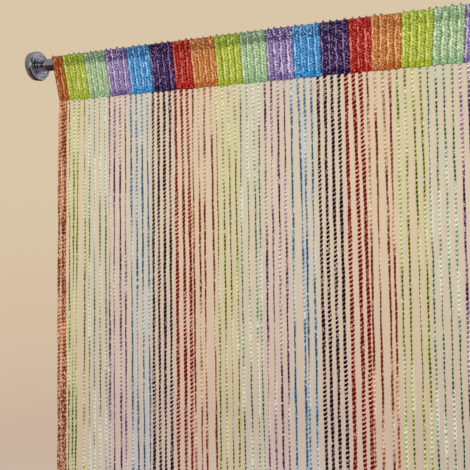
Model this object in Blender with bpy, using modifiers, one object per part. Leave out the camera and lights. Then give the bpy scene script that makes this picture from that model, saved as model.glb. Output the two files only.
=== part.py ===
"""String door curtain hanging from a sprung rod.

Metres, +Z up. The origin is the middle of the left pad's wall face, on the rod's axis.
+X runs along the rod to the right. The curtain hangs in the XZ plane and is seen from -Y.
"""
import math
import random

import bpy
import bmesh
from mathutils import Matrix, Vector

# Sizes along the rod
SPAN = 1.0645
FIRST_BOUNDARY_X = 0.0695
STRING_PITCH = 0.0095

# Rod, cups and pads
ROD_RADIUS = 0.0095
ROD_SIDES = 32
PAD_RADIUS = 0.0230
PAD_THICKNESS = 0.0055
PAD_ROUNDING = 0.0008
PIECE_GAP = 0.0003
SHARP_ANGLE = math.radians(40)
CUP_SIDES = 36
SOCKET_RADIUS = ROD_RADIUS + 0.0004
SOCKET_FLOOR = 0.0040

# Heading: a ribbed double layer that hangs as a V over the rod
HEADING_HEIGHT = 0.0750
HEADING_CREST = 0.0125
STRIP_HEIGHT = 0.0070
STRIP_THICKNESS = 0.0046
OUTER_RADIUS = 0.0120
INNER_RADIUS = 0.0101
HEM_HALF_WIDTH = 0.0024
POCKET_BOTTOM = -0.0530
POCKET_HALF_WIDTH = 0.0005
RIB_RISE = 0.0007
PICOT_RISE = 0.0008
OUTER_ARC_STEPS = 6
INNER_ARC_STEPS = 9
CUTTER_OVERRUN = 0.05

# Strings
DROP = 2.0
STRING_WIDTH = 0.0032
STRING_THICKNESS = 0.0015
STRING_STEPS = 7
END_UNEVENNESS = 0.004
BAND_SWAY = (0.0012, 0.0020)
STRING_SWAY = 0.0004
SWAY_LENGTHS = (0.9, 1.5)
LEAN_DEPTH = 0.15
TWIST_STEP = math.radians(40)
BAND_SEED = 100
STRING_SEED = 1000
TWIST_SEED = 2000

STRIP_BOTTOM_Z = HEADING_CREST - HEADING_HEIGHT
STRIP_TOP_Z = STRIP_BOTTOM_Z + STRIP_HEIGHT
HEADING_BOTTOM_Z = STRIP_TOP_Z + PIECE_GAP
STRING_LENGTH = DROP - HEADING_HEIGHT

# The colour repeat: colour, number of strings
REPEAT = (("lime", 4), ("mint", 4), ("lilac", 4), ("blue", 4), ("indigo", 4), ("red", 3), ("orange", 4))
WHOLE_REPEATS = 3
LAST_BANDS = 5
FIRST_BAND = ("orange", 3)
FIRST_BAND_PITCHES = 2

COLOURS = {
    "orange": (0.52, 0.20, 0.05), "lime": (0.42, 0.55, 0.07), "mint": (0.28, 0.52, 0.33),
    "lilac": (0.33, 0.19, 0.45), "blue": (0.06, 0.33, 0.62), "indigo": (0.07, 0.02, 0.18),
    "red": (0.50, 0.01, 0.02), "heading": (0.40, 0.33, 0.35), "chrome": (0.80, 0.80, 0.82),
    "pad": (0.20, 0.20, 0.21),
}

# How far the heading's top edge stands to the left of its bottom edge.
# Pitches from the first colour boundary, lean in metres
HEADING_LEAN = ((-2.0, 0.0157), (58.0, -0.0033), (101.0, 0.0))

# How far the ribs step to the right where they pass the front of the rod, and to the left behind it.
# Pitches from the first colour boundary, step in metres
RIB_STEP = ((-2.0, 0.0085), (4.0, 0.0085), (45.0, 0.0006), (101.0, 0.0))

# How far to the right of their ribs the strings leave the bottom edge.
# Pitches from the first colour boundary, shift in metres
STRING_SHIFT = (
    (-2.0, 0.0), (0.0, -0.0044), (4.0, -0.0048), (9.0, -0.0066), (20.0, -0.0070),
    (31.0, -0.0082), (36.0, -0.0102), (60.0, -0.0100), (101.0, 0.0),
)

# Strings that hang away from their place: number from the left, sideways lean, depth lean
LEANING_STRINGS = (
    (0, -0.0035, 0.0000), (1, -0.0020, 0.0010), (2, -0.0013, 0.0000), (4, -0.0030, 0.0000),
    (5, -0.0085, 0.0030), (9, 0.0015, 0.0000), (10, 0.0025, 0.0000), (12, -0.0020, 0.0010),
    (24, 0.0025, 0.0010), (25, 0.0030, 0.0000), (28, -0.0015, 0.0000), (29, 0.0030, 0.0010),
    (35, 0.0020, 0.0000), (36, 0.0030, 0.0010), (43, 0.0045, 0.0020), (51, 0.0035, 0.0010),
    (52, 0.0030, 0.0000), (55, 0.0040, 0.0010), (59, 0.0030, 0.0000), (60, 0.0025, 0.0010),
)


def clear_scene():
    for old in list(bpy.data.objects):
        bpy.data.objects.remove(old, do_unlink=True)


def new_collection(name):
    group = bpy.data.collections.new(name)
    bpy.context.scene.collection.children.link(group)
    return group


def make_material(name, colour, roughness, metallic=0.0):
    material = bpy.data.materials.new(name)
    material.use_nodes = True
    shader = material.node_tree.nodes["Principled BSDF"]
    shader.inputs["Base Color"].default_value = (*colour, 1.0)
    shader.inputs["Roughness"].default_value = roughness
    shader.inputs["Metallic"].default_value = metallic
    material.diffuse_color = (*colour, 1.0)
    return material


def add_object(name, bm, group, material=None, smooth_angle=None):
    """Turn a bmesh into a named object with its material."""
    bmesh.ops.recalc_face_normals(bm, faces=bm.faces)
    mesh = bpy.data.meshes.new(name)
    bm.to_mesh(mesh)
    bm.free()
    if smooth_angle is not None:
        mesh.shade_smooth()
        mesh.set_sharp_from_angle(angle=smooth_angle)
    thing = bpy.data.objects.new(name, mesh)
    group.objects.link(thing)
    if material is not None:
        mesh.materials.append(material)
    return thing


def loft(rings):
    """Skin a row of equal-length rings with quads and close both ends."""
    bm = bmesh.new()
    rows = [[bm.verts.new(point) for point in ring] for ring in rings]
    sides = len(rows[0])
    for here, there in zip(rows, rows[1:]):
        for k in range(sides):
            bm.faces.new((here[k], here[(k + 1) % sides], there[(k + 1) % sides], there[k]))
    bm.faces.new(reversed(rows[0]))
    bm.faces.new(rows[-1])
    return bm


def make_rod(group, material):
    left = PAD_THICKNESS + PIECE_GAP + SOCKET_FLOOR + PIECE_GAP
    length = SPAN - 2 * left
    bm = bmesh.new()
    bmesh.ops.create_cone(bm, cap_ends=True, segments=ROD_SIDES, radius1=ROD_RADIUS,
                          radius2=ROD_RADIUS, depth=length)
    rod = add_object("rod", bm, group, material, SHARP_ANGLE)
    rod.rotation_euler = (0.0, math.pi / 2, 0.0)
    rod.location = (SPAN / 2, 0.0, 0.0)


def make_pad(name, group, material, x, turn):
    bm = bmesh.new()
    bmesh.ops.create_cone(bm, cap_ends=True, segments=CUP_SIDES, radius1=PAD_RADIUS,
                          radius2=PAD_RADIUS, depth=PAD_THICKNESS)
    bmesh.ops.translate(bm, verts=bm.verts, vec=(0.0, 0.0, PAD_THICKNESS / 2))
    pad = add_object(name, bm, group, material, SHARP_ANGLE)
    rounding = pad.modifiers.new("rounded rim", "BEVEL")
    rounding.width = PAD_ROUNDING
    rounding.segments = 1
    pad.rotation_euler = (0.0, turn, 0.0)
    pad.location = (x, 0.0, 0.0)


def cup_profile():
    """Outer side of the cup from its socket floor, over the stepped face, to its back: radius, height."""
    return (
        (0.0, SOCKET_FLOOR), (SOCKET_RADIUS, SOCKET_FLOOR), (SOCKET_RADIUS, 0.0125), (0.0118, 0.0125),
        (0.0124, 0.0119), (0.0126, 0.0082), (0.0154, 0.0092), (0.0178, 0.0070), (0.0198, 0.0084),
        (0.0227, 0.0076), (0.0239, 0.0056), (0.0237, 0.0008), (0.0231, 0.0), (0.0, 0.0),
    )


def make_cup(name, group, material, x, turn):
    bm = bmesh.new()
    corners = [bm.verts.new((radius, 0.0, height)) for radius, height in cup_profile()]
    for start, end in zip(corners, corners[1:]):
        bm.edges.new((start, end))
    mesh = bpy.data.meshes.new(name)
    bm.to_mesh(mesh)
    bm.free()
    mesh.materials.append(material)
    cup = bpy.data.objects.new(name, mesh)
    group.objects.link(cup)
    turning = cup.modifiers.new("turned", "SCREW")
    turning.axis = "Z"
    turning.steps = CUP_SIDES
    turning.render_steps = CUP_SIDES
    turning.use_merge_vertices = True
    turning.merge_threshold = 0.0001
    turning.use_smooth_shade = True
    cup.rotation_euler = (0.0, turn, 0.0)
    cup.location = (x, 0.0, 0.0)


def read_table(table, pitches):
    """Value this many pitches from the first colour boundary, straight between the table's rows."""
    for (start, first_value), (end, last_value) in zip(table, table[1:]):
        if pitches <= end:
            share = (pitches - start) / (end - start)
            return first_value + share * (last_value - first_value)
    return table[-1][1]


def hanging_section(radius, bottom_half_width, bottom_z, arc_steps):
    """Half-round over the rod with straight sides that run to the bottom: (y, z) from front to back."""
    reach = math.hypot(bottom_half_width, bottom_z)
    bottom_angle = math.atan2(bottom_z, bottom_half_width)
    tangent = bottom_angle + math.acos(radius / reach)
    points = [(-bottom_half_width, bottom_z)]
    for step in range(arc_steps + 1):
        angle = math.pi - tangent + (2 * tangent - math.pi) * step / arc_steps
        points.append((radius * math.cos(angle), radius * math.sin(angle)))
    points.append((bottom_half_width, bottom_z))
    return points


def heading_ring(pitches, rise):
    """One column of the heading's outside, raised by the rib's rise, leaning as the cloth does."""
    ring = []
    lean = read_table(HEADING_LEAN, pitches)
    step = read_table(RIB_STEP, pitches)
    bottom_x = FIRST_BOUNDARY_X + pitches * STRING_PITCH
    section = hanging_section(OUTER_RADIUS, HEM_HALF_WIDTH, HEADING_BOTTOM_Z, OUTER_ARC_STEPS)
    for y, z in section:
        outward = Vector((0.0, math.copysign(1.0, y), 0.0))
        if z > HEADING_BOTTOM_Z:
            outward = Vector((0.0, y, z)).normalized()
        on_top = abs(y) < ROD_RADIUS / 2 and z > ROD_RADIUS
        push = rise * (RIB_RISE + (PICOT_RISE if on_top else 0.0))
        height = (z - STRIP_BOTTOM_Z) / HEADING_HEIGHT
        x = bottom_x - lean * height - step * y / OUTER_RADIUS
        ring.append(Vector((x, y, z)) + outward * push)
    return ring


def make_heading(group, cutters, material):
    last = string_count() - FIRST_BAND[1]
    columns = [heading_ring(-FIRST_BAND_PITCHES, 0.0)]
    for pitch in range(-FIRST_BAND_PITCHES, last):
        columns.append(heading_ring(pitch + 0.5, 1.0))
        columns.append(heading_ring(pitch + 1.0, 0.0))
    heading = add_object("heading", loft(columns), group, material)

    pocket = hanging_section(INNER_RADIUS, POCKET_HALF_WIDTH, POCKET_BOTTOM, INNER_ARC_STEPS)
    ends = [[Vector((x, y, z)) for y, z in pocket] for x in (-CUTTER_OVERRUN, SPAN + CUTTER_OVERRUN)]
    cutter = add_object("pocket_cutter", loft(ends), cutters)
    cutter.hide_render = True
    cutter.display_type = "WIRE"
    cut = heading.modifiers.new("rod pocket", "BOOLEAN")
    cut.operation = "DIFFERENCE"
    cut.solver = "EXACT"
    cut.object = cutter


def colour_bands():
    """Colour and string count of every band, from left to right."""
    return (FIRST_BAND,) + REPEAT * WHOLE_REPEATS + REPEAT[:LAST_BANDS]


def string_count():
    return sum(count for colour, count in colour_bands())


def band_cells(band_number):
    """Edges in x of the cells that a band's strings hang from, and the first string's number."""
    bands = colour_bands()
    colour, count = bands[band_number]
    first_string = sum(others for other_colour, others in bands[:band_number])
    start = first_string - FIRST_BAND[1]
    step = 1.0
    if band_number == 0:
        start = -FIRST_BAND_PITCHES
        step = FIRST_BAND_PITCHES / FIRST_BAND[1]
    places = [start + step * k for k in range(count + 1)]
    edges = [FIRST_BOUNDARY_X + p * STRING_PITCH + read_table(STRING_SHIFT, p) for p in places]
    return edges, first_string


def string_offset(band_number, string_number, depth):
    """Sideways and depth offset of a string this far below the strip."""
    band_draw = random.Random(BAND_SEED + band_number)
    own_draw = random.Random(STRING_SEED + string_number)
    sideways = 0.0
    inwards = 0.0
    for draw, sway_x, sway_y in ((band_draw, *BAND_SWAY), (own_draw, STRING_SWAY, STRING_SWAY)):
        wave = draw.uniform(*SWAY_LENGTHS)
        phase_x = draw.uniform(0.0, 2 * math.pi)
        phase_y = draw.uniform(0.0, 2 * math.pi)
        turn = 2 * math.pi * depth / wave
        sideways += sway_x * (math.sin(turn + phase_x) - math.sin(phase_x)) / 2
        inwards += sway_y * (math.sin(turn + phase_y) - math.sin(phase_y)) / 2
    settled = 1.0 - math.exp(-depth / LEAN_DEPTH)
    for number, lean_x, lean_y in LEANING_STRINGS:
        if number == string_number:
            sideways += lean_x * settled
            inwards += lean_y * settled
    return sideways, inwards


def string_section(centre, turn):
    """Four corners of a flat string, turned about its own length."""
    corners = []
    for side_x, side_y in ((-1, -1), (1, -1), (1, 1), (-1, 1)):
        across = Vector((side_x * STRING_WIDTH / 2, side_y * STRING_THICKNESS / 2, 0.0))
        corners.append(centre + Matrix.Rotation(turn, 3, "Z") @ across)
    return corners


def corner_order(face):
    """The face's vertices from the left front corner, going round by the right front one."""
    middle = face.calc_center_median()
    signs = ((-1, -1), (1, -1), (1, 1), (-1, 1))
    ordered = []
    for side_x, side_y in signs:
        for vert in face.verts:
            if (vert.co.x - middle.x) * side_x > 0 and (vert.co.y - middle.y) * side_y > 0:
                ordered.append(vert)
    return ordered


def grow_string(bm, root, band_number, string_number):
    """Draw one string down from the strip's underside, ring by ring."""
    middle = root.calc_center_median()
    bmesh.ops.inset_region(bm, faces=[root], thickness=STRING_THICKNESS / 2)
    face = root
    draw = random.Random(TWIST_SEED + string_number)
    length = STRING_LENGTH + draw.uniform(-END_UNEVENNESS, 0.0)
    turn = 0.0
    places = corner_order(face)
    for vert, point in zip(places, string_section(middle, turn)):
        vert.co = point
    for step in range(1, STRING_STEPS + 1):
        depth = length * step / STRING_STEPS
        turn += draw.uniform(-TWIST_STEP, TWIST_STEP)
        sideways, inwards = string_offset(band_number, string_number, depth)
        centre = middle + Vector((sideways, inwards, -depth))
        old_places = [vert.co.copy() for vert in places]
        grown = bmesh.ops.extrude_discrete_faces(bm, faces=[face])
        face = grown["faces"][0]
        places = [min(face.verts, key=lambda vert: (vert.co - old).length) for old in old_places]
        for vert, point in zip(places, string_section(centre, turn)):
            vert.co = point


def make_band(band_number, group, material):
    """A colour band's strip, cut into one cell for each string, with its strings."""
    colour, count = colour_bands()[band_number]
    edges, first_string = band_cells(band_number)
    width = edges[-1] - edges[0] - PIECE_GAP
    bm = bmesh.new()
    bmesh.ops.create_cube(bm, size=1.0)
    bmesh.ops.scale(bm, verts=bm.verts, vec=(width, STRIP_THICKNESS, STRIP_HEIGHT))
    middle = Vector(((edges[0] + edges[-1]) / 2, 0.0, (STRIP_BOTTOM_Z + STRIP_TOP_Z) / 2))
    bmesh.ops.translate(bm, verts=bm.verts, vec=middle)
    for edge in edges[1:-1]:
        everything = bm.verts[:] + bm.edges[:] + bm.faces[:]
        bmesh.ops.bisect_plane(bm, geom=everything, plane_co=(edge, 0.0, 0.0), plane_no=(1.0, 0.0, 0.0))
    roots = [face for face in bm.faces if face.calc_center_median().z < STRIP_BOTTOM_Z + PIECE_GAP]
    roots.sort(key=lambda face: face.calc_center_median().x)
    for k, root in enumerate(roots):
        grow_string(bm, root, band_number, first_string + k)
    add_object(f"band_{band_number + 1:02d}_{colour}", bm, group, material)


def main():
    clear_scene()
    group = new_collection("string_door_curtain")
    cutters = new_collection("cutters")
    chrome = make_material("chrome", COLOURS["chrome"], 0.12, 1.0)
    grey_pad = make_material("pad", COLOURS["pad"], 0.70)
    knit = make_material("heading", COLOURS["heading"], 0.60)
    yarns = {colour: make_material(f"yarn_{colour}", COLOURS[colour], 0.45) for colour, count in REPEAT}

    make_rod(group, chrome)
    make_pad("pad_left", group, grey_pad, 0.0, math.pi / 2)
    make_pad("pad_right", group, grey_pad, SPAN, -math.pi / 2)
    cup_back = PAD_THICKNESS + PIECE_GAP
    make_cup("cup_left", group, chrome, cup_back, math.pi / 2)
    make_cup("cup_right", group, chrome, SPAN - cup_back, -math.pi / 2)
    make_heading(group, cutters, knit)
    for band_number, (colour, count) in enumerate(colour_bands()):
        make_band(band_number, group, yarns[colour])


main()
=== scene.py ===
import math
import random
import bpy
import bmesh
import numpy as np
from mathutils import Matrix, Vector


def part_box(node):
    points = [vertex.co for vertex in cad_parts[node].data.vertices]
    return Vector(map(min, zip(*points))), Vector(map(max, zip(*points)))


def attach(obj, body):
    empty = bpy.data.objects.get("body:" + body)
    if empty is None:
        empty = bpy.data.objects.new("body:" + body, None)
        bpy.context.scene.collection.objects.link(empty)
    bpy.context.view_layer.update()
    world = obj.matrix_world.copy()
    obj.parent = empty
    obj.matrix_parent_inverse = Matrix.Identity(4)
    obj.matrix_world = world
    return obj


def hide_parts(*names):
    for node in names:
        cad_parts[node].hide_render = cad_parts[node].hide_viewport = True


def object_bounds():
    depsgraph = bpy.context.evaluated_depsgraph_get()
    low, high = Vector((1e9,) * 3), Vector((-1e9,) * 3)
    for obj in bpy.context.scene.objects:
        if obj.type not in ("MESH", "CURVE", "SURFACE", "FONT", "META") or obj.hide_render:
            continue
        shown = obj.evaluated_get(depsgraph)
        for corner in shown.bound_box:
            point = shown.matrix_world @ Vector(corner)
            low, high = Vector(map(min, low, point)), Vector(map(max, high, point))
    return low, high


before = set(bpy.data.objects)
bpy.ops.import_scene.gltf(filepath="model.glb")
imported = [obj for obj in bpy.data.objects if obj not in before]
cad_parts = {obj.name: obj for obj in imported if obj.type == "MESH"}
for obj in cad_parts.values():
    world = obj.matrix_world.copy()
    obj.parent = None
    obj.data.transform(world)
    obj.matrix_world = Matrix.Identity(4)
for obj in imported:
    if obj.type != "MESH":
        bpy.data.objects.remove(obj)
cadLow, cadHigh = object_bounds()
print("frame loaded,", len(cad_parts), "solids")

# where the pieces are, repeated from the driving sizes of the solids, in metres
place = {
    "boundaryX": 0.0695,        # first colour change at the hem, measured from the left wall
    "pitch": 0.0095,            # one string to the next
    "hemZ": -0.0625,            # lower edge of the heading, where the strings start
    "headingHeight": 0.075,
    "firstBandPitches": 2,      # the first band's three strings share two pitches
}
repeatOfColours = (
    ("lime", 4), ("mint", 4), ("lilac", 4), ("blue", 4), ("indigo", 4), ("red", 3), ("amber", 4),
)
bands = (("orange", 3),) + repeatOfColours * 3 + repeatOfColours[:5]
bandEdges = np.cumsum([0] + [count for colour, count in bands])
lastPitch = int(bandEdges[-1]) - bands[0][1]        # the heading's right end, from the first colour change
slotOf = {"amber": "yarn_orange"}
# how far the strings stand right of the ribs above them: pitches from the first colour change, metres
stringShift = (
    (-2.0, 0.0), (0.0, -0.0044), (4.0, -0.0048), (9.0, -0.0066), (20.0, -0.0070), (31.0, -0.0082),
    (36.0, -0.0102), (60.0, -0.0100), (101.0, 0.0),
)
# how far the top stands left of the hem, read the same way
headingLean = ((-2.0, 0.0157), (58.0, -0.0033), (101.0, 0.0))
# how far the ribs step right where they pass the front of the rod, and left behind it
ribStep = ((-2.0, 0.0085), (4.0, 0.0085), (45.0, 0.0006), (101.0, 0.0))
# where each row of chance draws starts; the number of the band or string is added
seeds = {
    "picot": 31, "band": 100, "string": 1000, "root": 2000, "turn": 3000, "density": 4000, "wobble": 5000,
}


def readTable(table, pitches):
    places, values = zip(*table)
    return np.interp(pitches, places, values)


def bandAt(pitches):
    # number of the band that a rib is in, for one place or an array of them
    number = np.where(np.asarray(pitches) < 0, 0, np.asarray(pitches) + bands[0][1])
    return np.searchsorted(bandEdges, number, side="right") - 1


# knit colours as seen in daylight, red green blue from 0 to 255, for these zones of the knit in turn
toneZones = ("rod", "mid", "hem", "deep", "pale")
# dyed colour with painted light: the rod zone darker with painted shade of the rod behind the cloth, the mid
# zone paler with painted light shining through it; deep is the colour of painted shade and of darker patches,
# pale that of painted highlights and glints
dyesAndPaintedLight = {
    "orange": ((132, 60, 4), (158, 74, 22), (158, 74, 24), (84, 22, 0), (252, 190, 130)),
    "amber": ((142, 82, 28), (192, 114, 48), (182, 92, 32), (106, 44, 6), (255, 214, 160)),
    "lime": ((116, 134, 14), (172, 182, 44), (160, 178, 22), (80, 98, 4), (240, 246, 166)),
    "mint": ((94, 118, 84), (160, 190, 130), (142, 184, 128), (66, 98, 66), (240, 250, 228)),
    "lilac": ((68, 50, 96), (140, 118, 168), (114, 90, 150), (50, 30, 76), (244, 232, 252)),
    "blue": ((0, 88, 138), (36, 136, 200), (0, 138, 206), (0, 58, 106), (196, 232, 255)),
    "indigo": ((28, 0, 44), (38, 6, 66), (30, 4, 60), (6, 0, 16), (176, 150, 196)),
    "red": ((138, 0, 0), (164, 4, 10), (168, 0, 8), (84, 0, 0), (248, 150, 130)),
}


def linear(rgb):
    # screen colour to the linear value that shaders take
    out = []
    for part in rgb:
        value = part / 255
        out.append(value / 12.92 if value <= 0.04045 else ((value + 0.055) / 1.055) ** 2.4)
    return (*out, 1.0)


def tonesWithPaintedLight(colour):
    return dict(zip(toneZones, map(linear, dyesAndPaintedLight[colour])))


# nodes: a number or colour is set on the socket, the output of another node is linked to it

def give(tree, slot, value):
    if isinstance(value, (int, float, tuple)):
        slot.default_value = value
    else:
        tree.links.new(value, slot)


def addNode(tree, kind, **values):
    node = tree.nodes.new("ShaderNode" + kind)
    for label, value in values.items():
        give(tree, node.inputs[label.replace("_", " ")], value)
    return node


def math2(tree, operation, first, second=None, clamp=False):
    node = addNode(tree, "Math")
    node.operation = operation
    node.use_clamp = clamp
    give(tree, node.inputs[0], first)
    if second is not None:
        give(tree, node.inputs[1], second)
    return node.outputs[0]


def plus(tree, first, second, clamp=False):
    return math2(tree, "ADD", first, second, clamp)


def minus(tree, first, second, clamp=False):
    return math2(tree, "SUBTRACT", first, second, clamp)


def times(tree, first, second):
    return math2(tree, "MULTIPLY", first, second)


def remap(tree, value, low, high, outLow=0.0, outHigh=1.0):
    node = addNode(tree, "MapRange", Value=value, From_Min=low, From_Max=high, To_Min=outLow, To_Max=outHigh)
    node.interpolation_type = "SMOOTHSTEP"
    return node.outputs["Result"]


def noise(tree, vector, scale, detail=2.0, stretch=None):
    if stretch is not None:
        vector = addNode(tree, "Mapping", Vector=vector, Scale=stretch).outputs["Vector"]
    return addNode(tree, "TexNoise", Vector=vector, Scale=scale, Detail=detail).outputs["Fac"]


def mixColour(tree, mask, first, second):
    node = addNode(tree, "Mix", Factor=mask)
    node.data_type = "RGBA"
    give(tree, node.inputs[6], first)
    give(tree, node.inputs[7], second)
    return node.outputs[2]


def separate(tree, vector):
    return addNode(tree, "SeparateXYZ", Vector=vector).outputs


def objectPlace(tree):
    return addNode(tree, "TexCoord").outputs["Object"]


def uvPlace(tree, layer):
    node = addNode(tree, "UVMap")
    node.uv_map = layer
    return node.outputs["UV"]


# shader groups

def newGroup(name, inputs, outputs):
    # an input given as None is a vector, the others and all outputs are single values
    group = bpy.data.node_groups.new(name, "ShaderNodeTree")
    for label, value in inputs.items():
        kind = "NodeSocketVector" if value is None else "NodeSocketFloat"
        socket = group.interface.new_socket(label, in_out="INPUT", socket_type=kind)
        if value is not None:
            socket.default_value = value
    for label in outputs:
        group.interface.new_socket(label, in_out="OUTPUT", socket_type="NodeSocketFloat")
    return group, group.nodes.new("NodeGroupInput").outputs, group.nodes.new("NodeGroupOutput").inputs


def pulse(tree, phase, share, softness):
    # 1 for this share of each whole turn of phase, soft at both ends
    wave = math2(tree, "COSINE", times(tree, phase, 2 * math.pi))
    if isinstance(share, (int, float)):
        edge = math.cos(math.pi * share) - softness / 2
    else:
        edge = minus(tree, math2(tree, "COSINE", times(tree, share, math.pi)), softness / 2)
    return math2(tree, "DIVIDE", minus(tree, wave, edge), softness, clamp=True)


fleckClumps = {"scale": 45.0, "strength": 2.0}


def buildPaintedGlintGroup():
    # painted glints: small flecks, clustered unevenly, that the materials paint pale as highlights
    group, given, out = newGroup(
        "paintedGlintFlecks", {"Position": None, "Fleck Scale": 700.0, "Share": 0.12}, ("Fleck",))
    cells = addNode(group, "TexVoronoi", Vector=given["Position"], Scale=given["Fleck Scale"])
    split = addNode(group, "SeparateColor", Color=cells.outputs["Color"])
    clump = times(group, noise(group, given["Position"], fleckClumps["scale"]), fleckClumps["strength"])
    threshold = minus(group, 1.0, times(group, given["Share"], clump))
    group.links.new(math2(group, "GREATER_THAN", split.outputs["Red"], threshold), out["Fleck"])
    return group


# how fast the stitches stray, how soft the edges of marks and core are, share and softness of the painted
# highlight between the marks
stitchPattern = {"strayScale": 0.9, "markSoft": 0.25, "coreSoft": 0.22, "light": (0.3, 0.3)}


def buildStitchGroup():
    # crocheted flat yarn: UV x runs across it, y counts stitches down it
    group, given, out = newGroup(
        "chevronStitches",
        {"Coordinate": None, "Density": 0.5, "Mark Share": 0.4, "Filling": 0.3, "Core Width": 0.6,
         "Joined": 0.1, "Slant": 0.28, "Unevenness": 0.16},
        ("Mark", "Light", "Height"))
    soft = stitchPattern
    split = separate(group, given["Coordinate"])
    across, along = split["X"], split["Y"]
    stray = minus(group, noise(group, given["Coordinate"], soft["strayScale"]), 0.5)
    stray = times(group, stray, given["Unevenness"])
    side = times(group, math2(group, "ABSOLUTE", minus(group, across, 0.5)), 2.0)
    phase = plus(group, plus(group, along, stray), times(group, side, given["Slant"]))
    # the marks close up into a line where the yarn is dense, and run together in its middle
    share = plus(group, given["Mark Share"], times(group, given["Density"], given["Filling"]))
    inner = minus(group, 1.0, side, clamp=True)
    share = plus(group, share, times(group, inner, given["Joined"]))
    mark = pulse(group, phase, math2(group, "MINIMUM", share, 1.0), soft["markSoft"])
    core = math2(group, "DIVIDE", minus(group, given["Core Width"], side), soft["coreSoft"], clamp=True)
    # the light: a painted highlight midway between the marks
    light = pulse(group, plus(group, phase, 0.5), *soft["light"])
    group.links.new(times(group, mark, core), out["Mark"])
    group.links.new(light, out["Light"])
    group.links.new(minus(group, light, mark), out["Height"])
    return group


knitPattern = {
    # stripes down each rib: middle and share of the rib, softness; valleys take painted shade, lines painted
    # highlights
    "valley": (-0.03, 0.22, 0.4), "halfValley": (-0.5, 0.10, 0.35),
    "line": (0.27, 0.13, 0.35), "secondLine": (0.72, 0.10, 0.2),
    "halfValleyKeep": 0.30, "secondLineKeep": 0.22,
    # loops across them: share of a loop, softness; the loop takes painted shade, the light between loops a
    # painted highlight
    "loop": (0.36, 0.4), "light": (0.24, 0.4), "loopDepth": 0.6,
    # patches of noise, how many to a rib and to a metre of cloth
    "strayPatches": (1.1, 70.0), "valleyPatches": (3.3, 150.0), "linePatches": (2.1, 110.0),
    "shakePatches": (0.9, 95.0), "threadPatches": (9.0, 620.0), "cloudPatches": (2.8, 260.0),
    # levels of noise between which a valley comes up, a line and a speck
    "valleyComes": (0.34, 0.56), "lineComes": (0.36, 0.54), "speckComes": (0.50, 0.64),
    "valleyLeast": 0.35,            # what is left of a valley at its faintest
    "stray": 0.6,                   # how far the stripes wander, in ribs
    "shake": 1.3, "slant": 1.5,     # how far the loops wander, and fall from mid-rib, in loops
}


def buildKnitGroup():
    # the heading's knit: UV x counts ribs, y runs up the front and down the back in metres
    group, given, out = newGroup(
        "ribbedKnit", {"Coordinate": None, "Loops Per Metre": 245.0},
        ("Valley", "Line", "Loop", "Light", "Speck", "Cloud", "Height"))
    knit = knitPattern

    def patches(key, detail=2.0):
        return noise(group, given["Coordinate"], 1.0, detail, (*knit[key], 1.0))

    split = separate(group, given["Coordinate"])
    rib, along = split["X"], split["Y"]
    ribPhase = plus(group, rib, times(group, minus(group, patches("strayPatches"), 0.5), knit["stray"]))

    def stripe(key):
        middle, share, softness = knit[key]
        return pulse(group, minus(group, ribPhase, middle), share, softness)

    half = times(group, stripe("halfValley"), knit["halfValleyKeep"])
    valley = math2(group, "MAXIMUM", stripe("valley"), half)
    uneven = remap(group, patches("valleyPatches"), *knit["valleyComes"])
    uneven = plus(group, times(group, uneven, 1 - knit["valleyLeast"]), knit["valleyLeast"])
    second = times(group, stripe("secondLine"), knit["secondLineKeep"])
    line = plus(group, stripe("line"), second, clamp=True)
    broken = remap(group, patches("linePatches"), *knit["lineComes"])
    folded = math2(group, "ABSOLUTE", minus(group, math2(group, "FRACT", rib), 0.5))
    shaken = times(group, minus(group, patches("shakePatches", detail=1.0), 0.5), knit["shake"])
    course = plus(group, times(group, along, given["Loops Per Metre"]), shaken)
    chevron = plus(group, course, times(group, folded, knit["slant"]))
    loop = pulse(group, chevron, *knit["loop"])
    thread = patches("threadPatches", detail=3.0)
    # Valley and Loop mark painted shade, Line and Light painted highlights, Speck and Cloud darker patches of
    # the knit
    made = {
        "Valley": times(group, valley, uneven),
        "Line": times(group, line, broken),
        "Loop": loop,
        "Light": pulse(group, plus(group, chevron, 0.5), *knit["light"]),
        "Speck": remap(group, thread, *knit["speckComes"]),
        "Cloud": patches("cloudPatches", detail=3.0),
        "Height": plus(group, times(group, loop, -knit["loopDepth"]), thread),
    }
    for label, value in made.items():
        group.links.new(value, out[label])
    return group


paintedGlintGroup = buildPaintedGlintGroup()
stitchGroup = buildStitchGroup()
knitGroup = buildKnitGroup()


def useGroup(tree, group, **values):
    node = addNode(tree, "Group")
    node.node_tree = group
    for label, value in values.items():
        give(tree, node.inputs[label.replace("_", " ")], value)
    return node.outputs


def newMaterial(name):
    material = bpy.data.materials.new(name)
    material.use_nodes = True
    tree = material.node_tree
    return material, tree, tree.nodes["Principled BSDF"]


def addBump(tree, shader, height, distance, strength):
    bump = addNode(tree, "Bump", Height=height, Distance=distance, Strength=strength)
    tree.links.new(bump.outputs["Normal"], shader.inputs["Normal"])


def addPaintedGlints(tree, scale, share):
    return useGroup(tree, paintedGlintGroup, Position=objectPlace(tree), Fleck_Scale=scale, Share=share)["Fleck"]


def finishThread(tree, shader, colour, pale, paintedGlint, height, finish):
    # the flecks are painted pale as glints in the colour and made glossier, the stitches show in relief
    flecked = mixColour(tree, times(tree, paintedGlint, finish["paintedGlintShows"]), colour, pale)
    dull = minus(tree, finish["roughness"], times(tree, paintedGlint, finish["fleckGloss"]))
    tree.links.new(flecked, shader.inputs["Base Color"])
    tree.links.new(dull, shader.inputs["Roughness"])
    shader.inputs["Specular IOR Level"].default_value = finish["gloss"]
    addBump(tree, shader, height, *finish["relief"])
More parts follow.
